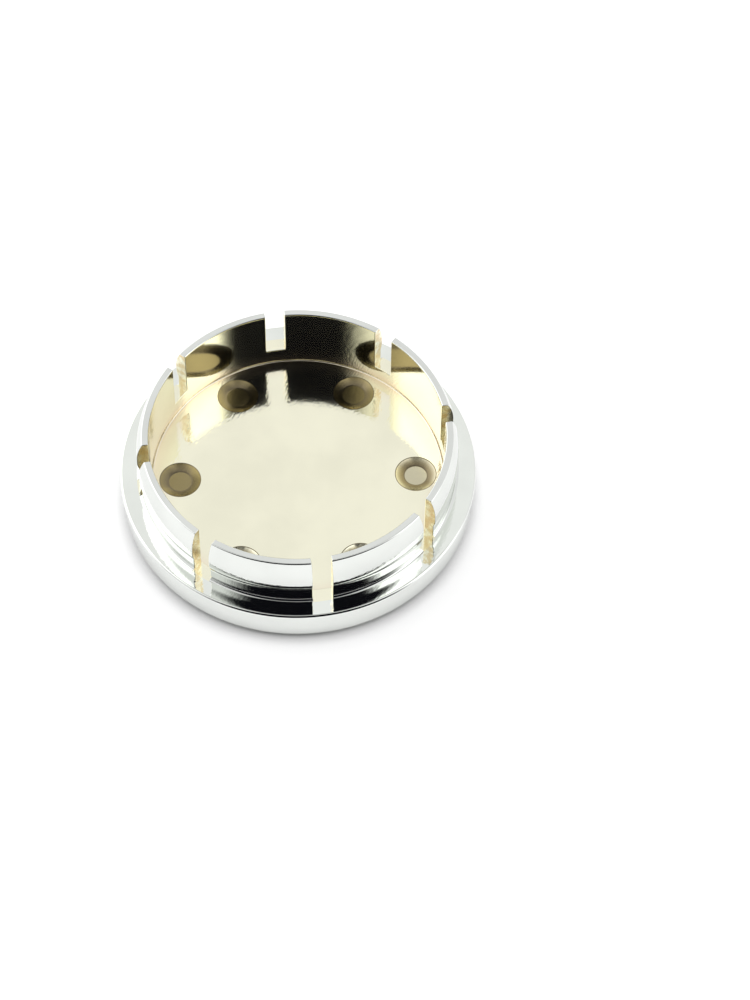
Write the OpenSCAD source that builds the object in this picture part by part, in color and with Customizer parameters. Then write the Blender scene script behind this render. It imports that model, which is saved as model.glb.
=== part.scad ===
// Wheel centre cap, moulded in one piece and chrome plated.
// It lies on its front lip with the clip fingers pointing up (+Z), which is
// how it comes to rest. The origin is on the cap's axis, in the plane of the lip.

/* [Rim] */
// Outside diameter of the rim, at its back edge
rim_d = 65; // [62:0.5:75]
// Height of the rim from the front lip to its flat back face
rim_h = 7.7; // [6.5:0.1:10]
// Draft of the rim wall, which narrows towards the front, in degrees
rim_draft = 4; // [0:0.5:6]
// Radius that rolls the rim wall over to the front lip
nose_r = 2.2; // [0.8:0.1:3]
// Radius of the edge between the rim wall and the back face
back_edge_r = 0.5; // [0.2:0.1:1]

/* [Front face] */
// Width of the flat crest of the front lip, which the cap lies on
lip_land = 0.2; // [0.1:0.05:1]
// Radius of the lip's inner edge
lip_edge_r = 0.4; // [0.2:0.05:0.5]
// Depth of the flat front face below the crest of the lip
face_recess = 1.2; // [0.6:0.1:2]
// Thickness of the front wall
face_wall = 3.2; // [2:0.1:4]

/* [Clip ring] */
// Width of the flat back face outside the neck, which seats the cap on the wheel.
// The straight neck that enters the wheel's bore is the rest: 57.6 mm across.
seat_w = 3.7; // [3.2:0.1:5]
// Wall thickness of the ring at the neck
ring_wall = 2; // [1.2:0.1:2.5]
// Height of the clip fingers above the rim's back face
finger_h = 10.4; // [9:0.1:14]
// Height of the snap bead over the neck
bead_height = 0.35; // [0.1:0.05:0.8]
// Height of the straight band on the crest of the bead, which grips the bore
bead_land = 1.2; // [0.6:0.1:2]
// Radius that rounds the bead above its band, towards the fingertips
bead_round = 9; // [7:0.5:12]
// Radius that rounds the bead below its band, towards the neck
bead_under = 4; // [2:0.5:6]
// Distance from the fingertips down to the middle of the band
bead_drop = 4.9; // [4:0.1:5.5]
// Radius of the outer edge of the fingertips
tip_edge_r = 0.3; // [0.1:0.05:0.4]
// Bevel on the inner edge of the fingertips
tip_bevel = 0.25; // [0.1:0.05:0.4]
// Fillet between the neck and the rim's back face
root_r = 0.6; // [0.3:0.1:1.2]
// Fillet between the inside of the ring and the floor
floor_r = 0.3; // [0.1:0.1:0.8]

/* [Slots] */
// Number of slots, which is also the number of fingers
slots = 8; // [4:1:12]
// Width of each slot
slot_w = 3.6; // [2:0.1:5]
// Turn of the first slot from +X, in degrees
slot_turn = 10.5; // [0:0.5:45]

/* [Ejector marks] */
// Number of round ejector pin marks sunk in the floor
marks = 6; // [3:1:8]
// Distance from the inside of the ring to the centre of each mark
mark_inset = 5.2; // [4.6:0.1:10]
// Diameter of each mark where it meets the floor
mark_d = 7.5; // [6:0.1:8]
// Diameter of the flat bottom of each mark
mark_flat_d = 4.5; // [3:0.1:5.5]
// Depth of each mark
mark_depth = 0.6; // [0.3:0.05:1]
// Turn of the first mark from +X, in degrees
mark_turn = 3; // [0:0.5:60]

/* [Hidden] */
$fn = 96;

// Overshoot of cuts past the surface that they open
eps = 0.5;

rim_r = rim_d / 2;
neck_r = rim_r - seat_w;
bore_r = neck_r - ring_wall;
floor_z = face_recess + face_wall;
tip_z = rim_h + finger_h;

// The rim wall is the straight line whose points p meet p * wall_n = wall_k.
// It touches the circle of the back edge and the circle of the nose from outside.
wall_n = [cos(rim_draft), -sin(rim_draft)];
back_c = [rim_r - back_edge_r, rim_h - back_edge_r];
wall_k = back_c * wall_n + back_edge_r;
nose_c = [(wall_k - nose_r - nose_r * wall_n[1]) / wall_n[0], nose_r];

// The front face ends where the lip's inner edge starts
face_r = nose_c[0] - lip_land - lip_edge_r;

// The bead is a circle at each end of its band. The tip edge is a small circle that
// touches the upper one from inside.
bead_r = neck_r + bead_height;
bead_z = tip_z - bead_drop;
low_c = [bead_r - bead_under, bead_z - bead_land / 2];
high_c = [bead_r - bead_round, bead_z + bead_land / 2];
tip_rise = tip_z - tip_edge_r - high_c[1];
tip_c = high_c + [sqrt(pow(bead_round - tip_edge_r, 2) - pow(tip_rise, 2)), tip_rise];
tip_touch = high_c + (tip_c - high_c) * bead_round / (bead_round - tip_edge_r);

// Corner filler: a square of side r less the circle around its far corner
module fillet_section(r) {
    difference() {
        square(r);
        translate([r, r]) circle(r);
    }
}

// Half section of the rim and the front wall, from the axis outwards
module rim_section() {
    difference() {
        union() {
            polygon([[0, 0], [nose_c[0], 0], nose_c + nose_r * wall_n,
                     back_c + back_edge_r * wall_n, [back_c[0], rim_h], [0, rim_h]]);
            translate(nose_c) circle(nose_r);
            translate(back_c) circle(back_edge_r);
        }
        face_pocket_section();
        translate([0, floor_z]) square([bore_r, rim_h]);
    }
    translate([bore_r, floor_z]) mirror([1, 0]) fillet_section(floor_r);
}

// Half section of the pocket of the front face, flared by the lip's inner edge
module face_pocket_section() {
    translate([0, -eps]) square([face_r, face_recess + eps]);
    difference() {
        translate([face_r, 0]) square(lip_edge_r);
        translate([face_r + lip_edge_r, lip_edge_r]) circle(lip_edge_r);
    }
}

// Half section of the clip ring above the back face: neck, snap bead, rounded tip
// and root fillet
module ring_section() {
    difference() {
        union() {
            translate([bore_r, rim_h]) square([ring_wall, bead_z - rim_h]);
            intersection() {
                union() {
                    translate(low_c) circle(bead_under, $fn = 192);
                    translate(high_c) circle(bead_round, $fn = 192);
                    translate([bore_r, low_c[1]]) square([bead_r - bore_r, bead_land]);
                }
                translate([bore_r, rim_h]) square([rim_r, tip_touch[1] - rim_h]);
            }
            translate([bore_r, bead_z]) square([tip_c[0] - bore_r, bead_drop]);
            translate(tip_c) circle(tip_edge_r);
            translate([neck_r, rim_h]) fillet_section(root_r);
        }
        polygon([[bore_r, tip_z - tip_bevel], [bore_r + tip_bevel, tip_z],
                 [bore_r, tip_z + eps], [bore_r - eps, tip_z]]);
    }
}

// Cutters for the slots, from below the ring to above the fingertips
module slot_cutters() {
    for (i = [0 : slots - 1])
        rotate(slot_turn + i * 360 / slots)
            translate([bore_r / 2, -slot_w / 2, rim_h - eps])
                cube([neck_r + root_r + eps - bore_r / 2, slot_w, finger_h + 2 * eps]);
}

// Cutters for the ejector marks, shallow cones with a flat bottom
module mark_cutters() {
    for (i = [0 : marks - 1])
        rotate(mark_turn + i * 360 / marks)
            translate([bore_r - mark_inset, 0, floor_z - mark_depth])
                cylinder(h = mark_depth, d1 = mark_flat_d, d2 = mark_d);
}

// Rim with the front wall, its sunk face and the marks in its floor
module rim() {
    color([0.86, 0.86, 0.84])
    difference() {
        rotate_extrude($fn = 192) rim_section();
        mark_cutters();
    }
}

// Ring of clip fingers, parted by slots that are flush with the rim's back face
module clip_ring() {
    color([0.88, 0.87, 0.80])
    difference() {
        rotate_extrude($fn = 192) ring_section();
        slot_cutters();
    }
}

// The whole cap, which is one solid
module centre_cap() {
    rim();
    clip_ring();
}

centre_cap();
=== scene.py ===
"""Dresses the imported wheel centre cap: a finely moulded, chrome plated surface
in place of the plain solid, on a white studio floor.

The sizes are in millimetres in the maths below and in metres in Blender.
"""

import math

import bpy
import numpy as np
from mathutils import Matrix, Vector


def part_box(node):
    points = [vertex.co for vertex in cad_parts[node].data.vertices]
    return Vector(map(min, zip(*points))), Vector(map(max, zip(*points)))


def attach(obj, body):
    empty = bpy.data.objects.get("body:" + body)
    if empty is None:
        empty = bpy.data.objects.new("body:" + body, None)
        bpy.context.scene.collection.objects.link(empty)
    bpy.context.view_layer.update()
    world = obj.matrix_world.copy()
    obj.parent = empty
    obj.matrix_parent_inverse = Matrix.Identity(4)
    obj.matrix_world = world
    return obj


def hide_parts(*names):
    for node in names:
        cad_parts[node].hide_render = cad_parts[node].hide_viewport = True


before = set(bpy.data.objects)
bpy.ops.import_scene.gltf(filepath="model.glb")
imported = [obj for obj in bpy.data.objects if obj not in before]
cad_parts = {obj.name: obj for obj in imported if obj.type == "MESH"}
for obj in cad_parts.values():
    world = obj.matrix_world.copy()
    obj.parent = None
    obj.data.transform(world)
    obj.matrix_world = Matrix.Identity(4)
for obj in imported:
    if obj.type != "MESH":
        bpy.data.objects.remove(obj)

bl_info = {
    "name": "Wheel centre cap",
    "version": (1, 0, 0),
    "blender": (4, 5, 0),
    "location": "3D View > Sidebar > Centre cap",
    "description": "Builds a chrome plated snap-in wheel centre cap and its stage",
    "category": "Add Mesh",
}

CAD_LOW, CAD_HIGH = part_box("centre_cap")
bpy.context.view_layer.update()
MM = 0.001

# Fine forms, in millimetres: the rounded rim and foot of an ejector mark, and the
# height over which the fingers' rounded ends fade out towards the back face.
MARK_EDGE_R, MARK_FOOT_R = 0.5, 1.2
EDGE_FADE = 0.8

# Steps of the profiles and grids, and how finely points are told apart.
LAND_STEPS, SILL_STEPS, TIP_STEPS = 7, 4, 5
SLOT_STEPS, EDGE_STEPS, FINGER_STEPS = 6, 4, 36
SPOKE_STEPS, SECTOR_STEPS = 48, 3
POINTS_PER_MM = 1e4

# Kinds of plating. All but the first have a layer of their own in the mesh.
OUTSIDE, SEAT, INSIDE, MARK, ENDS, RING = range(6)
KINDS = ("seat", "inside", "mark", "ends", "ring")

# A normal that points up by more than this belongs to the seating face, whose chrome is a
# painted lighter copy of the outside chrome.
SEAT_RISE = 0.9
# Rows of the tips' inner edge that are plated like the outside.
TIP_ROWS = 3
# Rows of a mark painted with dark shade and reflection in its curves: below its rim, and
# in its foot.
MARK_RIM_ROWS, MARK_FOOT_ROWS = slice(4, 7), slice(8, 13)
# How dark each mark's plating is, from 0 for the floor's plating to 1: partly duller
# plating, partly painted shade and reflection that differs from mark to mark.
MARK_SHADE_AND_DULLNESS = (0.55, 1.0, 1.0, 1.0, 0.15, 0.15)

# Tint low in the ring: its start and full strength by radius and by height.
FOOT_REACH, FOOT_RISE = (22.5, 26.6), (7.0, 4.6)

# Polishing streaks: their length and width, turn in degrees and depth. Inside, the
# depth changes by these shares, the first above the fade's heights and the second
# below them.
STREAK_SIZE, STREAK_TURN, STREAK_DEPTH = (8.0, 0.36, 0.36), (0, -25, 57), 0.016
STREAK_FADE, STREAK_GAIN = (9.0, 5.0), (-0.5, 0.7)

# Blots on the finger ends and haze over all the plating: noise per metre, the noise
# values at which each starts and is full, and what it does there.
BLOT_SCALE, BLOT_RANGE, PIT_GAIN = 650.0, (0.38, 0.66), 3.0
HAZE_SCALE, HAZE_RANGE, HAZE_LEVELS = 90.0, (0.25, 0.75), (0.95, 1.03)
NOISE_DETAIL, STREAK_DETAIL = 3.0, 1.0

# The floor's contact shadow: its reach, and the open share at which it is darkest
# and gone.
COVER_REACH, COVER_RANGE, COVER_SAMPLES = 4.2, (0.22, 0.82), 4

# Soft windows in the studio's sky. Each pair of angles, in degrees, is where one
# side of a window starts and where it is full.
DARK_WINDOW = {"turn": ((-62, -34), (70, 50)), "height": ((-4, 2), (88, 76))}
TOP_WINDOW = {"side": ((-26, -18), (28, 20)), "away": ((27, 23), (-2, 3)),
              "height": ((58, 64),)}
RIGHT_PANEL = {"turn": ((56, 66), (108, 94))}
LEFT_PANEL = {"turn": ((-72, -92), (-164, -148))}

# The camera and the point that it looks at, in millimetres, its sensor's width in
# millimetres, its near and far limits in metres, and half the floor's side.
EYE, AIM = (14.17, -313.0, 457.0), (14.17, -4.86, 4.4)
SENSOR_W, CLIP_NEAR, CLIP_FAR = 36.0, 0.01, 20.0
FLOOR_HALF = 3.0


# Properties


def length(label, text, value):
    """A length in metres, from its value in millimetres."""
    return bpy.props.FloatProperty(
        name=label, description=text, default=value * MM, min=0.0,
        subtype="DISTANCE", unit="LENGTH", precision=5)


def angle(label, text, value):
    """An angle in radians, from its value in degrees."""
    return bpy.props.FloatProperty(
        name=label, description=text, default=math.radians(value),
        subtype="ANGLE", unit="ROTATION")


def share(label, text, value):
    """A number from 0 to 1."""
    return bpy.props.FloatProperty(
        name=label, description=text, default=value, min=0.0, max=1.0, subtype="FACTOR")


def colour(label, text, value):
    """A linear colour."""
    return bpy.props.FloatVectorProperty(
        name=label, description=text, default=value, min=0.0, max=1.0, size=3,
        subtype="COLOR")


class CapSizes(bpy.types.PropertyGroup):
    """Sizes of the moulding, the same as those of the solid."""

    rim_d: length("Rim diameter", "Outside diameter of the rim",
                  (CAD_HIGH.x - CAD_LOW.x) / MM)
    rim_h: length("Rim height", "Height of the flat back face over the lip", 7.7)
    rim_draft: angle("Rim draft", "How far the rim wall leans in towards the front", 4)
    nose_r: length("Nose radius", "Rounding from the rim wall to the lip", 2.2)
    back_edge_r: length("Back edge radius", "Rounding of the rim's back edge", 0.5)
    lip_land: length("Lip land", "Width of the lip's crest", 0.2)
    lip_edge_r: length("Lip edge radius", "Rounding of the lip's inner edge", 0.4)
    face_recess: length("Face recess", "Depth of the front face in the lip", 1.2)
    face_corner_r: length("Face corner radius", "Fillet around the front face", 0.15)
    face_wall: length("Face wall", "Thickness of the front wall", 3.2)
    seat_w: length("Seat width", "Width of the back face outside the neck", 3.7)
    ring_wall: length("Ring wall", "Thickness of the ring at the neck", 2.0)
    tip_z: length("Tip height", "Height of the fingertips over the lip",
                  (CAD_HIGH.z - CAD_LOW.z) / MM)
    bead_height: length("Bead height", "How far the snap bead stands out", 0.35)
    bead_land: length("Bead band", "Height of the bead's straight band", 1.2)
    bead_round: length("Bead rounding", "Radius above the band", 9.0)
    bead_under: length("Bead underside", "Radius below the band", 4.0)
    bead_drop: length("Bead drop", "From the fingertips to the band's middle", 4.9)
    tip_edge_r: length("Tip edge radius", "Rounding of the tips' outer edge", 0.3)
    tip_inner_r: length("Tip inner radius", "Rounding of the tips' inner edge", 0.25)
    root_r: length("Root fillet", "Fillet between the neck and the back face", 0.6)
    floor_r: length("Floor fillet", "Fillet between the ring and the floor", 0.3)
    slot_w: length("Slot width", "Width of each slot", 3.6)
    slot_turn: angle("Slot turn", "Turn of the first slot from +X", 10.5)
    slots: bpy.props.IntProperty(
        name="Slots", description="Number of slots in the ring", default=8, min=2)
    end_edge_r: length("Finger edge radius", "Rounding of the fingers' edges", 0.12)
    sill_r: length("Slot sill radius", "Rounding of each slot's inner edge", 0.15)
    marks: bpy.props.IntProperty(
        name="Ejector marks", description="Number of ejector marks", default=6, min=2)
    mark_inset: length("Mark inset", "From the ring's inside to a mark's centre", 5.2)
    mark_d: length("Mark diameter", "Diameter of a mark where it meets the floor", 7.5)
    mark_flat_d: length("Mark flat", "Diameter of a mark's flat bottom", 4.5)
    mark_depth: length("Mark depth", "Depth of each mark", 0.6)
    mark_turn: angle("Mark turn", "Turn of the first mark from +X", 3)


class PlatingLook(bpy.types.PropertyGroup):
    """Colours and finish of the chrome plating."""

    outside: colour("Outside", "Chrome on the outside of the ring and the rim",
                    (0.80, 0.82, 0.79))
    # The seating face's colour is a painted lighter copy of the outside chrome, for the
    # faces that point up.
    seat: colour("Seating face", "Chrome on the flat back face of the rim",
                 (0.89, 0.92, 0.87))
    inside: colour("Inside", "Thin, warm plating inside the ring",
                   (0.97, 0.95, 0.76))
    ends: colour("Finger ends", "Tarnished plating on the flat ends of the fingers",
                 (0.80, 0.66, 0.40))
    # The marks' colour is duller plating darkened with painted shade and reflection.
    mark: colour("Ejector marks", "Dull plating in the ejector marks",
                 (0.34, 0.28, 0.14))
    # The rings' colour is painted dark reflection and shade in the curves of each mark's
    # rim and foot.
    ring: colour("Mark rings", "Bare plating around and in the foot of each mark",
                 (0.23, 0.19, 0.115))
    foot: colour("Foot", "Tint of the plating low in the ring", (0.96, 0.89, 0.88))
    roughness: share("Roughness", "Roughness of the polished plating", 0.045)
    dull_roughness: share("Dull roughness", "Roughness of the ends and marks", 0.25)
    inner_roughness: share("Inner roughness", "Added roughness inside", 0.04)
    foot_roughness: share("Foot roughness", "Added roughness low in the ring", 0.06)
    streaks: share("Streaks", "Strength of the fine polishing streaks", 0.50)


class StageLook(bpy.types.PropertyGroup):
    """Light, floor and camera."""

    floor: colour("Floor", "Colour of the studio floor", (0.62, 0.62, 0.62))
    glow: share("Floor glow", "How far the open floor is lifted towards white", 0.66)
    tent: share("Tent level", "Brightness of the tent's plain sides", 0.885)
    top: share("Top level", "Brightness of the tent's top, beside its plain sides", 0.35)
    panel: bpy.props.FloatProperty(
        name="Panel level", description="Brightness of the two panels in the tent",
        default=1.58, min=0.0)
    dark: colour("Dark side", "Colour of the unlit room around the camera",
                 (0.004, 0.004, 0.006))
    lens: bpy.props.FloatProperty(
        name="Lens", description="Focal length of the camera in millimetres",
        default=108.0, min=1.0, subtype="DISTANCE_CAMERA")
    roll: angle("Roll", "Turn of the camera around its own axis", 1)


# Profiles: each is (points, normals), both arrays of (radius, height) rows.


def arc(centre, radius, start, end, steps, hollow=False):
    """Centre plus radius times (cos, sin) of the angles from start to end, in
    degrees. The normals point away from the centre, or to it where hollow."""
    a = np.radians(np.linspace(start, end, steps + 1))
    n = np.stack([np.cos(a), np.sin(a)], axis=1)
    return np.asarray(centre) + radius * n, -n if hollow else n


def straight(a, b, normal, steps):
    """a plus t times (b - a), for t from 0 to 1, with one normal."""
    t = np.linspace(0, 1, steps + 1)[:, None]
    return (np.asarray(a) * (1 - t) + np.asarray(b) * t,
            np.tile(np.asarray(normal, dtype=float), (steps + 1, 1)))


def joined(*runs):
    """Runs end to end. A joint is one point, with the mean of the two normals."""
    points, normals = [runs[0][0]], [runs[0][1].copy()]
    for p, n in runs[1:]:
        mean = normals[-1][-1] + n[0]
        normals[-1][-1] = mean / np.linalg.norm(mean)
        points.append(p[1:])
        normals.append(n[1:].copy())
    return np.concatenate(points), np.concatenate(normals)


class CapShape:
    """The lines and radii of the cap, worked out from the sizes in millimetres."""

    def __init__(self, sizes):
        for name, prop in CapSizes.__annotations__.items():
            value = getattr(sizes, name)
            unit = prop.keywords.get("unit")
            if unit == "LENGTH":
                value = value / MM
            elif unit == "ROTATION":
                value = math.degrees(value)
            setattr(self, name, value)
        self.rim_r = self.rim_d / 2
        self.neck_r = self.rim_r - self.seat_w
        self.bore_r = self.neck_r - self.ring_wall
        self.floor_z = self.face_recess + self.face_wall
        draft = math.radians(self.rim_draft)
        self.wall_n = np.array([math.cos(draft), -math.sin(draft)])
        self.back_c = np.array([self.rim_r, self.rim_h]) - self.back_edge_r
        wall_k = self.back_c @ self.wall_n + self.back_edge_r
        nose_k = wall_k - self.nose_r * (1 + self.wall_n[1])
        self.nose_c = np.array([nose_k / self.wall_n[0], self.nose_r])
        self.face_r = self.nose_c[0] - self.lip_land - self.lip_edge_r
        self.foot_r = self.neck_r + self.root_r
        crest = self.neck_r + self.bead_height
        middle = self.tip_z - self.bead_drop
        self.low_c = np.array([crest - self.bead_under, middle - self.bead_land / 2])
        self.high_c = np.array([crest - self.bead_round, middle + self.bead_land / 2])
        rise = self.tip_z - self.tip_edge_r - self.high_c[1]
        reach = math.sqrt((self.bead_round - self.tip_edge_r) ** 2 - rise ** 2)
        self.tip_c = self.high_c + [reach, rise]
        self.slot_pitch = 2 * math.pi / self.slots
        self.mark_pitch = 2 * math.pi / self.marks

    def rim_profile(self):
        """From the middle of the front face out over the lip and the nose, up the
        rim wall and in over the back face to the foot of the fingers."""
        draft, corner = self.rim_draft, self.face_corner_r
        corner_c = (self.face_r - corner, self.face_recess - corner)
        lip_c = (self.face_r + self.lip_edge_r, self.lip_edge_r)
        nose_end = self.nose_c + self.nose_r * self.wall_n
        back_start = self.back_c + self.back_edge_r * self.wall_n
        return joined(
            straight((0, self.face_recess), (corner_c[0], self.face_recess), (0, -1), 3),
            arc(corner_c, corner, 90, 0, 4, True),
            straight((self.face_r, corner_c[1]), (self.face_r, lip_c[1]), (-1, 0), 2),
            arc(lip_c, self.lip_edge_r, 180, 270, 6),
            straight((lip_c[0], 0), (self.nose_c[0], 0), (0, -1), 1),
            arc(self.nose_c, self.nose_r, -90, -draft, 16),
            straight(nose_end, back_start, self.wall_n, 6),
            arc(self.back_c, self.back_edge_r, -draft, 90, 8),
            straight((self.back_c[0], self.rim_h), (self.foot_r, self.rim_h), (0, 1), 4))

    def finger_profile(self):
        """From the foot up the fillet, neck and bead and around the tip, then down
        the bore. It has as many rows before the tip's land as after it."""
        bead_start = math.acos((self.neck_r - self.low_c[0]) / self.bead_under)
        neck_end = self.low_c[1] - self.bead_under * math.sin(bead_start)
        bead_end = math.degrees(math.atan2(*(self.tip_c - self.high_c)[::-1]))
        crest = self.low_c[0] + self.bead_under
        neck_z = self.rim_h + self.root_r
        outer = joined(
            arc((self.foot_r, neck_z), self.root_r, 270, 180, 8, True),
            straight((self.neck_r, neck_z), (self.neck_r, neck_end), (1, 0), 4),
            arc(self.low_c, self.bead_under, -math.degrees(bead_start), 0, 8),
            straight((crest, self.low_c[1]), (crest, self.high_c[1]), (1, 0), 2),
            arc(self.high_c, self.bead_round, 0, bead_end, 9),
            arc(self.tip_c, self.tip_edge_r, bead_end, 90, 5))
        inner_c = (self.bore_r + self.tip_inner_r, self.tip_z - self.tip_inner_r)
        land = straight(outer[0][-1], (inner_c[0], self.tip_z), (0, 1), LAND_STEPS)
        rows = len(outer[0]) - 1
        inner = joined(
            arc(inner_c, self.tip_inner_r, 90, 180, TIP_STEPS),
            straight((self.bore_r, inner_c[1]), (self.bore_r, self.rim_h - self.sill_r),
                     (-1, 0), rows - TIP_STEPS))
        return outer, land, inner

    def sill_profile(self):
        """Across the floor of a slot, from the foot in to the bore, over its edge."""
        edge_c = (self.bore_r + self.sill_r, self.rim_h - self.sill_r)
        return joined(
            straight((self.foot_r, self.rim_h), (edge_c[0], self.rim_h), (0, 1),
                     LAND_STEPS - SILL_STEPS),
            arc(edge_c, self.sill_r, 90, 180, SILL_STEPS))

    def bore_profile(self):
        """Down the bore from the sills to the floor's fillet."""
        fillet_c = (self.bore_r - self.floor_r, self.floor_z + self.floor_r)
        return joined(
            straight((self.bore_r, self.rim_h - self.sill_r), (self.bore_r, fillet_c[1]),
                     (-1, 0), 4),
            arc(fillet_c, self.floor_r, 0, -90, 5, True))

    def mark_profile(self):
        """From the rim of an ejector mark in to its middle, as (radius, drop). Each
        rounding starts its radius times the tangent of half the slope from the kink."""
        outer, flat, drop = self.mark_d / 2, self.mark_flat_d / 2, self.mark_depth
        slope = math.degrees(math.atan2(drop, outer - flat))
        bite = math.tan(math.radians(slope / 2))
        edge, foot = outer + MARK_EDGE_R * bite, flat - MARK_FOOT_R * bite
        return joined(
            arc((edge, -MARK_EDGE_R), MARK_EDGE_R, 90, 90 + slope, 4),
            arc((foot, MARK_FOOT_R - drop), MARK_FOOT_R, -90 + slope, -90, 6, True),
            straight((foot, -drop), (0, -drop), (0, 1), 3))


# Surfaces


class Surface:
    """Grids of points with normals, welded into one closed mesh."""

    def __init__(self):
        self.points, self.normals, self.kinds, self.faces = [], [], [], []
        self.count = 0

    def add(self, points, normals, kind, flip=False):
        """A grid of rows and columns. Its quads turn so that they face along the
        normals, and flip turns them round."""
        rows, columns = points.shape[:2]
        index = self.count + np.arange(rows * columns).reshape(rows, columns)
        a, b = index[:-1, :-1], index[:-1, 1:]
        c, d = index[1:, 1:], index[1:, :-1]
        quads = np.stack([a, d, c, b] if flip else [a, b, c, d], axis=-1).reshape(-1, 4)
        self.points.append(points.reshape(-1, 3))
        self.normals.append(np.broadcast_to(normals, points.shape).reshape(-1, 3))
        self.kinds.append(np.broadcast_to(kind, (rows, columns)).reshape(-1))
        self.faces.append(quads)
        self.count += rows * columns

    def mesh(self, name):
        """Points closer than 0.1 micrometre become one, and a quad with two corners
        at one point becomes a triangle. Each corner keeps its own exact normal."""
        points = np.concatenate(self.points)
        normals = np.concatenate(self.normals)
        kinds = np.concatenate(self.kinds)
        quads = np.concatenate(self.faces)
        _, first, welded = np.unique(
            np.round(points * POINTS_PER_MM).astype(np.int64), axis=0,
            return_index=True, return_inverse=True)
        corners = welded.reshape(-1)[quads]
        kept = corners != np.roll(corners, -1, axis=1)
        sides = kept.sum(axis=1)
        kept &= (sides > 2)[:, None]
        sides = sides[sides > 2]
        loops, source = corners[kept], quads[kept]
        mesh = bpy.data.meshes.new(name)
        mesh.vertices.add(len(first))
        mesh.vertices.foreach_set("co", (points[first] * MM).astype(np.float32).ravel())
        mesh.loops.add(len(loops))
        mesh.loops.foreach_set("vertex_index", loops.astype(np.int32))
        mesh.polygons.add(len(sides))
        starts = np.concatenate([[0], np.cumsum(sides)[:-1]])
        mesh.polygons.foreach_set("loop_start", starts.astype(np.int32))
        mesh.polygons.foreach_set("loop_total", sides.astype(np.int32))
        mesh.polygons.foreach_set("use_smooth", np.ones(len(sides), bool))
        for row, label in enumerate(KINDS, 1):
            amount = np.clip(1 - np.abs(kinds[source] - row), 0, 1)
            layer = mesh.attributes.new(label, "FLOAT", "CORNER")
            layer.data.foreach_set("value", amount.astype(np.float32))
        mesh.update(calc_edges=True)
        mesh.validate()
        unit = normals[source]
        unit = unit / np.linalg.norm(unit, axis=1, keepdims=True)
        mesh.normals_split_custom_set(unit.astype(np.float32))
        return mesh


def pitch_columns(cap):
    """The columns of one slot and the finger after it, as shares, offsets and tilts.
    A column stands offset from the middle plane of a slot: share 0 counts from the
    slot before it, 1 from the slot after, and between them the angle is mixed. The
    tilt goes from 0 at a finger's flat end to 90 degrees past its rounded edge."""
    half, edge = cap.slot_w / 2, cap.end_edge_r
    turn = np.linspace(0, 90, EDGE_STEPS + 1)
    rise = half + edge * (1 - np.cos(np.radians(turn)))
    slot = np.linspace(-half, half, SLOT_STEPS + 1)
    shares = np.concatenate(
        [np.zeros(SLOT_STEPS + EDGE_STEPS), np.linspace(0, 1, FINGER_STEPS + 1),
         np.ones(EDGE_STEPS)])
    offset = np.concatenate(
        [slot[:-1], rise[:-1], np.full(FINGER_STEPS + 1, half + edge), rise[-2::-1]])
    tilt = np.concatenate(
        [np.full(SLOT_STEPS, 90.0), turn[:-1], np.full(FINGER_STEPS + 1, 90.0),
         turn[-2::-1]])
    return shares, offset, np.radians(tilt)


def column_angles(cap, radius):
    """Angles of all columns around the axis at a radius: the arc sine of offset over
    radius, added to one slot's angle and taken from the next one's."""
    shares, offset, _ = pitch_columns(cap)
    lean = np.arcsin(offset / np.asarray(radius)[..., None])
    base = math.radians(cap.slot_turn) + cap.slot_pitch * np.arange(cap.slots)
    local = (1 - shares) * lean + shares * (cap.slot_pitch - lean)
    return base[:, None] + local[..., None, :]


def turned(points, normals, angles):
    """Rows of (radius, height) turned to the columns' angles around the axis."""
    cos, sin = np.cos(angles), np.sin(angles)

    def spin(rows):
        radial = np.broadcast_to(rows[..., 0], cos.shape)
        return np.stack([radial * cos, radial * sin,
                         np.broadcast_to(rows[..., 1], cos.shape)], axis=-1)

    return spin(points), spin(normals)


def add_lathe(surface, cap, profile, radius, kind):
    """A profile carried round the axis, on the columns that hold at one radius. The
    kind is a number, or a column of one number for each row."""
    angles = column_angles(cap, np.array(radius)).reshape(-1)
    angles = np.concatenate([angles, angles[:1] + 2 * math.pi])
    points, normals = turned(
        profile[0][:, None], profile[1][:, None],
        np.broadcast_to(angles, (len(profile[0]), len(angles))))
    surface.add(points, normals, kind)


def finger_columns(cap, points, normals):
    """Grids of all fingers. Near a finger's ends the profile is drawn in along its
    normal by edge times (1 - sine of the column's tilt), which rounds the edges off,
    and this fades out towards the foot. Also given are how far the profile's normal
    and the direction along the ring count in each point's normal."""
    tilt = pitch_columns(cap)[2][SLOT_STEPS:]
    fade = np.clip((points[:, 1] - cap.rim_h) / EDGE_FADE, 0, 1)[:, None]
    fade = fade * fade * (3 - 2 * fade)
    lean = fade * (1 - np.sin(tilt))
    drawn = points[:, None] - cap.end_edge_r * lean[..., None] * normals[:, None]
    angles = column_angles(cap, points[:, 0])[..., SLOT_STEPS:]
    return drawn, 1 - lean, fade * np.cos(tilt), angles


def add_fingers(surface, cap):
    """The outer, top and inner skin of each finger, and its two flat ends."""
    outer, land, inner = cap.finger_profile()
    points, normals = joined(outer, land, inner)
    rows = len(outer[0])
    drawn, upright, along, angles = finger_columns(cap, points, normals)
    columns = drawn.shape[1]
    kind = np.full((len(points), 1), float(INSIDE))
    kind[:rows + LAND_STEPS + TIP_ROWS] = OUTSIDE
    # The finger's foot row takes the seat's painted lighter chrome.
    kind[0] = SEAT
    sign = np.where(np.arange(columns) > columns / 2, 1.0, -1.0)[None, :, None]
    for number in range(cap.slots):
        a = angles[:, number]
        p, n = turned(drawn, np.broadcast_to(normals[:, None], drawn.shape), a)
        around = np.stack([-np.sin(a), np.cos(a), np.zeros_like(a)], axis=-1)
        surface.add(p, n * upright[..., None] + around * sign * along[..., None], kind)
        for last in (False, True):
            add_finger_end(surface, cap, p[:, -1 if last else 0], rows, number, last)


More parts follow.
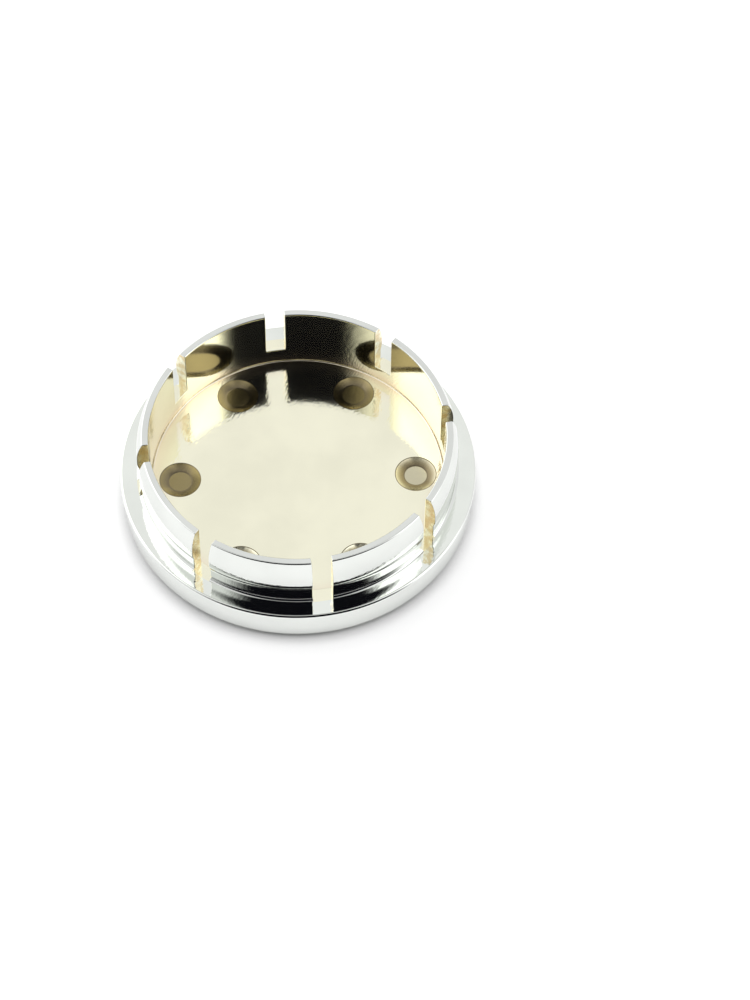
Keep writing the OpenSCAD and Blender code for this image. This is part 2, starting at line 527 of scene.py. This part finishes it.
def add_finger_end(surface, cap, edge, rows, number, last):
    """The flat end of a finger: straight lines across from the outer rows of its edge
    to the inner ones, with the tip's land as its top row and the sill as its foot."""
    sill = cap.sill_profile()
    out, back = edge[:rows], edge[rows + LAND_STEPS - 1:][::-1]
    t = np.linspace(0, 1, LAND_STEPS + 1)[None, :, None]
    grid = out[:, None] * (1 - t) + back[:, None] * t
    grid[-1] = edge[rows - 1:rows + LAND_STEPS]
    turn = column_angles(cap, sill[0][:, 0])[:, number, -1 if last else SLOT_STEPS]
    grid[0] = turned(*sill, turn)[0]
    plane = math.radians(cap.slot_turn) + cap.slot_pitch * (number + last)
    face = np.array([-math.sin(plane), math.cos(plane), 0]) * (1 if last else -1)
    surface.add(grid, face, ENDS, not last)


def add_sills(surface, cap):
    """The floor of each slot, flush with the rim's back face."""
    points, normals = cap.sill_profile()
    angles = column_angles(cap, points[:, 0])[..., :SLOT_STEPS + 1]
    for number in range(cap.slots):
        p, n = turned(points[:, None], normals[:, None], angles[:, number])
        surface.add(p, n, INSIDE)


def add_floor(surface, cap):
    """The floor inside the ring, in one sector around each ejector mark. A sector's
    outline runs from the axis out to the floor's edge, along it and back. Rows go
    straight from the outline to the mark's circle and then down the mark's profile."""
    edge_r, mark_reach = cap.bore_r - cap.floor_r, cap.bore_r - cap.mark_inset
    angles = column_angles(cap, np.array(cap.bore_r)).reshape(-1)
    edge = np.stack([edge_r * np.cos(angles), edge_r * np.sin(angles)], axis=1)
    turns = math.radians(cap.mark_turn) + cap.mark_pitch * np.arange(cap.marks)
    starts = [int(np.argmin(np.abs(np.angle(np.exp(1j * (angles - first))))))
              for first in turns - cap.mark_pitch / 2]
    spoke = np.linspace(0, 1, SPOKE_STEPS + 1)[:, None]
    points, normals = cap.mark_profile()
    height = np.concatenate([np.zeros(SECTOR_STEPS), points[:, 1]]) + cap.floor_z
    slope = np.concatenate([np.zeros(SECTOR_STEPS), normals[:, 0]])[:, None, None]
    rise = np.concatenate([np.ones(SECTOR_STEPS), normals[:, 1]])[:, None, None]
    for k, (turn, start) in enumerate(zip(turns, starts)):
        stop = starts[(k + 1) % cap.marks]
        run = np.arange(start, stop + (len(angles) if stop < start else 0) + 1)
        run %= len(angles)
        outline = np.concatenate(
            [edge[start] * spoke, edge[run][1:-1], edge[stop] * spoke[::-1]])
        centre = mark_reach * np.array([math.cos(turn), math.sin(turn)])
        away = outline - centre
        away /= np.linalg.norm(away, axis=1, keepdims=True)
        t = np.linspace(0, 1, SECTOR_STEPS + 1)[:-1, None, None]
        flat = outline * (1 - t) + (centre + points[0, 0] * away) * t
        plan = np.concatenate([flat, centre + points[:, :1, None] * away])
        level = np.broadcast_to(height[:, None, None], plan.shape[:2] + (1,))
        lift = np.broadcast_to(rise, level.shape)
        # Each mark is darkened by its own share, which paints shade and reflection over
        # its duller plating; the rows of its rim and foot get the rings' painted dark
        # reflection.
        shade_and_dullness = MARK_SHADE_AND_DULLNESS[k % len(MARK_SHADE_AND_DULLNESS)]
        kind = np.full((len(plan), 1), INSIDE + (MARK - INSIDE) * shade_and_dullness)
        kind[:SECTOR_STEPS + 1] = INSIDE
        kind[MARK_RIM_ROWS] = kind[MARK_FOOT_ROWS] = RING
        surface.add(np.concatenate([plan, level], axis=-1),
                    np.concatenate([slope * away, lift], axis=-1), kind)


def cap_mesh(cap):
    """The whole moulding as one closed surface."""
    surface = Surface()
    rim = cap.rim_profile()
    # Faces pointing up get the seat's painted lighter chrome, the rest the outside
    # chrome.
    rim_kind = np.where(rim[1][:, 1:] > SEAT_RISE, float(SEAT), float(OUTSIDE))
    add_lathe(surface, cap, rim, cap.foot_r, rim_kind)
    add_fingers(surface, cap)
    add_sills(surface, cap)
    add_lathe(surface, cap, cap.bore_profile(), cap.bore_r, INSIDE)
    add_floor(surface, cap)
    return surface.mesh("centre_cap_moulding")


# Materials


def metres(values):
    """Values in millimetres as metres."""
    return tuple(value * MM for value in values)


def node(tree, kind, at, **values):
    """A node of a kind, with its settings and unlinked sockets."""
    made = tree.nodes.new(kind)
    made.location = at
    for name, value in values.items():
        if name in made.inputs:
            made.inputs[name].default_value = value
        else:
            setattr(made, name, value)
    return made


def feed(tree, socket, value):
    """A socket linked to another socket, set to a value, or left where it is None."""
    if isinstance(value, bpy.types.NodeSocket):
        tree.links.new(value, socket)
    elif value is not None:
        socket.default_value = value


def wired(tree, kind, at, *values, **settings):
    """A node whose inputs, in order, are linked to a socket or set to a value."""
    made = node(tree, kind, at, **settings)
    for socket, value in zip(made.inputs, values):
        feed(tree, socket, value)
    return made


def maths(tree, operation, at, *values):
    """The result of a Math node."""
    return wired(tree, "ShaderNodeMath", at, *values, operation=operation).outputs[0]


def ramp(tree, source, low, high, at, to=(0.0, 1.0), curve="SMOOTHSTEP"):
    """A smooth step of a value, from low to high, or a straight one."""
    return wired(tree, "ShaderNodeMapRange", at, source, low, high, *to,
                 interpolation_type=curve).outputs["Result"]


def blended(tree, amount, first, second, at, way="MIX"):
    """A mix of two colours, each a socket or a linear colour."""
    made = node(tree, "ShaderNodeMix", at, data_type="RGBA", blend_type=way)
    feed(tree, made.inputs["Factor"], amount)
    for socket, value in ((made.inputs[6], first), (made.inputs[7], second)):
        known = isinstance(value, bpy.types.NodeSocket)
        feed(tree, socket, value if known else (*value, 1))
    return made.outputs[2]


def noise(tree, place, scale, detail, at):
    """The value of a noise texture."""
    made = node(tree, "ShaderNodeTexNoise", at, Scale=scale, Detail=detail)
    tree.links.new(place, made.inputs["Vector"])
    return made.outputs["Fac"]


def cleared(owner):
    """The empty node tree of a material or world."""
    owner.use_nodes = True
    owner.node_tree.nodes.clear()
    return owner.node_tree


def plating_areas(tree):
    """How far a point belongs to each kind of plating, and the sums of the kinds
    that are laid over each other, so that no outer plating shows between them."""
    area = {}
    for number, label in enumerate(KINDS):
        area[label] = node(tree, "ShaderNodeAttribute", (-1300, 900 - 180 * number),
                           attribute_name=label).outputs["Fac"]
    # The marks and their rings: duller plating with painted shade and reflection.
    area["dull"] = maths(tree, "ADD", (-1050, 400), area["mark"], area["ring"])
    area["worn"] = maths(tree, "ADD", (-900, 400), area["dull"], area["ends"])
    area["inner"] = maths(tree, "ADD", (-750, 400), area["worn"], area["inside"])
    return area


def inner_foot(tree, axes, inside):
    """How near a point of the inside is to the corner of bore and floor: a soft step
    of its distance from the axis, times one of its height."""
    square = [maths(tree, "POWER", (-1300, -900 - 100 * k), axes[k], 2.0)
              for k in range(2)]
    radius = maths(tree, "SQRT", (-900, -900), maths(tree, "ADD", (-1100, -900), *square))
    near = ramp(tree, radius, *metres(FOOT_REACH), (-700, -900))
    down = ramp(tree, axes["Z"], *metres(FOOT_RISE), (-700, -1100))
    return maths(tree, "MULTIPLY", (-300, -900), inside,
                 maths(tree, "MULTIPLY", (-500, -900), near, down))


def plating_tint(tree, look, area, blot, foot):
    """The colours of the kinds laid over each other. The finger ends are blotched with
    the inside's colour, and the foot of the ring is tinted darker and pinker."""
    patches = ramp(tree, blot, *BLOT_RANGE, (-1050, 100))
    aged = blended(tree, patches, look.ends, look.inside, (-800, 500))
    # Over the outside chrome, the seat layer paints the upward faces lighter.
    tint = look.outside
    # The mark and ring layers paint shade and reflection into the marks.
    layers = (("seat", look.seat), ("inner", look.inside), ("dull", look.mark),
              ("ends", aged), ("ring", look.ring))
    for number, (label, over) in enumerate(layers):
        tint = blended(tree, area[label], tint, over, (-600 + 180 * number, 700))
    return blended(tree, foot, tint, look.foot, (350, 700), "MULTIPLY")


def plating_relief(tree, place, axes, area, blot):
    """The height of the fine streaks, which is noise drawn out along one line, and
    of the pits in the finger ends. Inside, the streaks fade up the walls."""
    lay = node(tree, "ShaderNodeMapping", (-1500, -500), vector_type="TEXTURE",
               Rotation=[math.radians(turn) for turn in STREAK_TURN],
               Scale=metres(STREAK_SIZE))
    tree.links.new(place, lay.inputs["Vector"])
    streak = noise(tree, lay.outputs["Vector"], 1.0, STREAK_DETAIL, (-1300, -500))
    low = ramp(tree, axes["Z"], *metres(STREAK_FADE), (-1300, -300), STREAK_GAIN)
    depth = maths(tree, "MULTIPLY_ADD", (-900, -300), area["inner"], low, 1.0)
    lines = maths(tree, "MULTIPLY", (-600, -500), streak, depth)
    pits = maths(tree, "MULTIPLY", (-600, -700), blot,
                 maths(tree, "MULTIPLY", (-800, -700), area["ends"], PIT_GAIN))
    return maths(tree, "ADD", (-300, -600), lines, pits)


def plating_material(look):
    """Polished plating, warmer and thinner inside, with fine slanted streaks. The
    fingers' ends and the ejector marks are duller and patchy, and the marks' dark colours
    are painted shade and reflection over their duller plating."""
    material = bpy.data.materials.new("chrome_plating")
    tree = cleared(material)
    link = tree.links.new
    place = node(tree, "ShaderNodeTexCoord", (-1700, 0)).outputs["Object"]
    axes = wired(tree, "ShaderNodeSeparateXYZ", (-1500, -900), place).outputs
    area = plating_areas(tree)
    blot = noise(tree, place, BLOT_SCALE, NOISE_DETAIL, (-1300, 100))
    haze = noise(tree, place, HAZE_SCALE, NOISE_DETAIL, (-1300, -150))
    foot = inner_foot(tree, axes, area["inside"])
    shade = node(tree, "ShaderNodeVectorMath", (500, 500), operation="SCALE")
    link(plating_tint(tree, look, area, blot, foot), shade.inputs[0])
    link(ramp(tree, haze, *HAZE_RANGE, (-1050, -150), HAZE_LEVELS),
         shade.inputs["Scale"])
    rough = ramp(tree, area["worn"], 0.0, 1.0, (-400, 100),
                 (look.roughness, look.dull_roughness))
    rough = maths(tree, "MULTIPLY_ADD", (-200, 100), area["inside"],
                  look.inner_roughness, rough)
    rough = maths(tree, "MULTIPLY_ADD", (0, 100), foot, look.foot_roughness, rough)
    bump = node(tree, "ShaderNodeBump", (0, -500), Strength=look.streaks,
                Distance=STREAK_DEPTH * MM)
    link(plating_relief(tree, place, axes, area, blot), bump.inputs["Height"])
    shader = node(tree, "ShaderNodeBsdfPrincipled", (700, 0), Metallic=1.0)
    link(shade.outputs["Vector"], shader.inputs["Base Color"])
    link(rough, shader.inputs["Roughness"])
    link(bump.outputs["Normal"], shader.inputs["Normal"])
    wired(tree, "ShaderNodeOutputMaterial", (1000, 0), shader.outputs["BSDF"])
    return material


def floor_material(look):
    """Pale floor, lifted to white where a lens or a mirror sees it. It keeps the
    shadow of what stands on it, and isn't lifted where that covers it."""
    material = bpy.data.materials.new("studio_floor")
    tree = cleared(material)
    matt = wired(tree, "ShaderNodeBsdfDiffuse", (100, 100), (*look.floor, 1))
    path = node(tree, "ShaderNodeLightPath", (-700, -100))
    seen = path.outputs["Is Camera Ray"]
    for number, ray in enumerate(("Is Glossy Ray", "Is Transmission Ray")):
        seen = maths(tree, "MAXIMUM", (-500 + 150 * number, -100), seen,
                     path.outputs[ray])
    cover = node(tree, "ShaderNodeAmbientOcclusion", (-500, -300),
                 samples=COVER_SAMPLES, Distance=COVER_REACH * MM)
    clear = ramp(tree, cover.outputs["AO"], *COVER_RANGE, (-300, -300),
                 (0.0, look.glow))
    gain = maths(tree, "MULTIPLY", (-100, -100), seen, clear)
    glow = wired(tree, "ShaderNodeEmission", (100, -100), (1, 1, 1, 1), gain)
    both = wired(tree, "ShaderNodeAddShader", (400, 0), matt.outputs[0],
                 glow.outputs[0])
    wired(tree, "ShaderNodeOutputMaterial", (600, 0), both.outputs[0])
    return material


def window(tree, angles, sides, at):
    """The product of soft steps of the named angles, one for each side."""
    product = 1.0
    steps = [(angles[name], side) for name, pairs in sides.items() for side in pairs]
    for number, (source, side) in enumerate(steps):
        soft = ramp(tree, source, *np.radians(side), (at[0], at[1] - 180 * number))
        product = maths(tree, "MULTIPLY", (at[0] + 180 * (number + 1), at[1]),
                        soft, product)
    return product


def sky_angles(tree):
    """A direction's turn from the camera's side, its height over the ground, and its
    slant to the right and away from the camera, in radians."""
    place = node(tree, "ShaderNodeTexCoord", (-1200, 0)).outputs["Generated"]
    axes = wired(tree, "ShaderNodeSeparateXYZ", (-1000, 0), place).outputs
    towards = maths(tree, "MULTIPLY", (-800, 0), axes["Y"], -1.0)
    return {"turn": maths(tree, "ARCTAN2", (-600, 100), axes["X"], towards),
            "height": maths(tree, "ARCSINE", (-600, -100), axes["Z"]),
            "side": maths(tree, "ARCSINE", (-600, 300), axes["X"]),
            "away": maths(tree, "ARCSINE", (-600, 500), axes["Y"])}


def studio_world(look):
    """A pale tent with a dark opening on the camera's side, a dimmer part overhead
    and a bright panel on each side. The lens itself sees it white."""
    world = bpy.data.worlds.new("studio")
    tree = cleared(world)
    angles = sky_angles(tree)
    dark = window(tree, angles, DARK_WINDOW, (-300, 900))
    top = window(tree, angles, TOP_WINDOW, (-300, 1700))
    panel = maths(tree, "MAXIMUM", (200, -300),
                  window(tree, angles, RIGHT_PANEL, (-300, 100)),
                  window(tree, angles, LEFT_PANEL, (-300, -300)))
    camera = node(tree, "ShaderNodeLightPath", (400, -700)).outputs["Is Camera Ray"]
    level = maths(
        tree, "MULTIPLY", (700, -300),
        ramp(tree, panel, 0.0, 1.0, (500, -300), (look.tent, look.panel), "LINEAR"),
        ramp(tree, top, 0.0, 1.0, (500, 1500), (1.0, look.top), "LINEAR"))
    level = ramp(tree, camera, 0.0, 1.0, (900, -300), (level, 1.0), "LINEAR")
    shown = wired(tree, "ShaderNodeMath", (600, 100), dark, camera,
                  operation="SUBTRACT", use_clamp=True).outputs[0]
    grey = wired(tree, "ShaderNodeCombineColor", (1100, -300), level, level, level)
    sky = blended(tree, shown, grey.outputs[0], look.dark, (1300, 0))
    background = wired(tree, "ShaderNodeBackground", (1500, 0), sky)
    wired(tree, "ShaderNodeOutputWorld", (1700, 0), background.outputs[0])
    return world


# Operators


class CAP_OT_moulding(bpy.types.Operator):
    """Builds the plated moulding with its rim, clip fingers, slots and marks"""

    bl_idname = "centre_cap.moulding"
    bl_label = "Build moulding"

    def execute(self, context):
        mesh = cap_mesh(CapShape(context.scene.cap_sizes))
        mesh.materials.append(plating_material(context.scene.cap_plating))
        piece = bpy.data.objects.new("centre_cap_moulding", mesh)
        context.scene.collection.objects.link(piece)
        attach(piece, "root")
        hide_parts("centre_cap")
        return {"FINISHED"}


class CAP_OT_stage(bpy.types.Operator):
    """Sets up the floor, the light and the camera"""

    bl_idname = "centre_cap.stage"
    bl_label = "Set up stage"

    def execute(self, context):
        scene, look = context.scene, context.scene.cap_stage
        corners = [(x * FLOOR_HALF, y * FLOOR_HALF, 0)
                   for x, y in ((-1, -1), (1, -1), (1, 1), (-1, 1))]
        mesh = bpy.data.meshes.new("studio_floor")
        mesh.from_pydata(corners, [], [(0, 1, 2, 3)])
        mesh.materials.append(floor_material(look))
        floor = bpy.data.objects.new("studio_floor", mesh)
        scene.collection.objects.link(floor)
        scene.world = studio_world(look)
        scene.view_settings.view_transform = "Standard"
        eye, aim = Vector(EYE) * MM, Vector(AIM) * MM
        data = bpy.data.cameras.new("photo_camera")
        data.lens = look.lens
        data.sensor_width = SENSOR_W
        data.clip_start, data.clip_end = CLIP_NEAR, CLIP_FAR
        camera = bpy.data.objects.new("photo_camera", data)
        turn = (aim - eye).to_track_quat("-Z", "Y").to_matrix().to_4x4()
        camera.matrix_world = (Matrix.Translation(eye) @ turn
                               @ Matrix.Rotation(look.roll, 4, "Z"))
        scene.collection.objects.link(camera)
        scene.camera = camera
        return {"FINISHED"}


class CAP_PT_sidebar(bpy.types.Panel):
    """Sizes, finish and stage of the cap"""

    bl_idname = "CAP_PT_sidebar"
    bl_label = "Wheel centre cap"
    bl_space_type = "VIEW_3D"
    bl_region_type = "UI"
    bl_category = "Centre cap"

    def draw(self, context):
        layout, scene = self.layout, context.scene
        for group, button in ((scene.cap_sizes, None),
                              (scene.cap_plating, CAP_OT_moulding),
                              (scene.cap_stage, CAP_OT_stage)):
            box = layout.box()
            for name in group.__annotations__:
                box.prop(group, name)
            if button is not None:
                box.operator(button.bl_idname)


CLASSES = (CapSizes, PlatingLook, StageLook, CAP_OT_moulding, CAP_OT_stage,
           CAP_PT_sidebar)
GROUPS = {"cap_sizes": CapSizes, "cap_plating": PlatingLook, "cap_stage": StageLook}


def register():
    """Adds the classes, and the property groups to the scene."""
    for made in CLASSES:
        bpy.utils.register_class(made)
    for name, group in GROUPS.items():
        setattr(bpy.types.Scene, name, bpy.props.PointerProperty(type=group))


def unregister():
    """Takes them out again, in the opposite order."""
    for name in GROUPS:
        delattr(bpy.types.Scene, name)
    for made in reversed(CLASSES):
        bpy.utils.unregister_class(made)


def main():
    """Builds the cap and its stage."""
    register()
    bpy.ops.centre_cap.moulding()
    bpy.ops.centre_cap.stage()


if __name__ == "__main__":
    main()
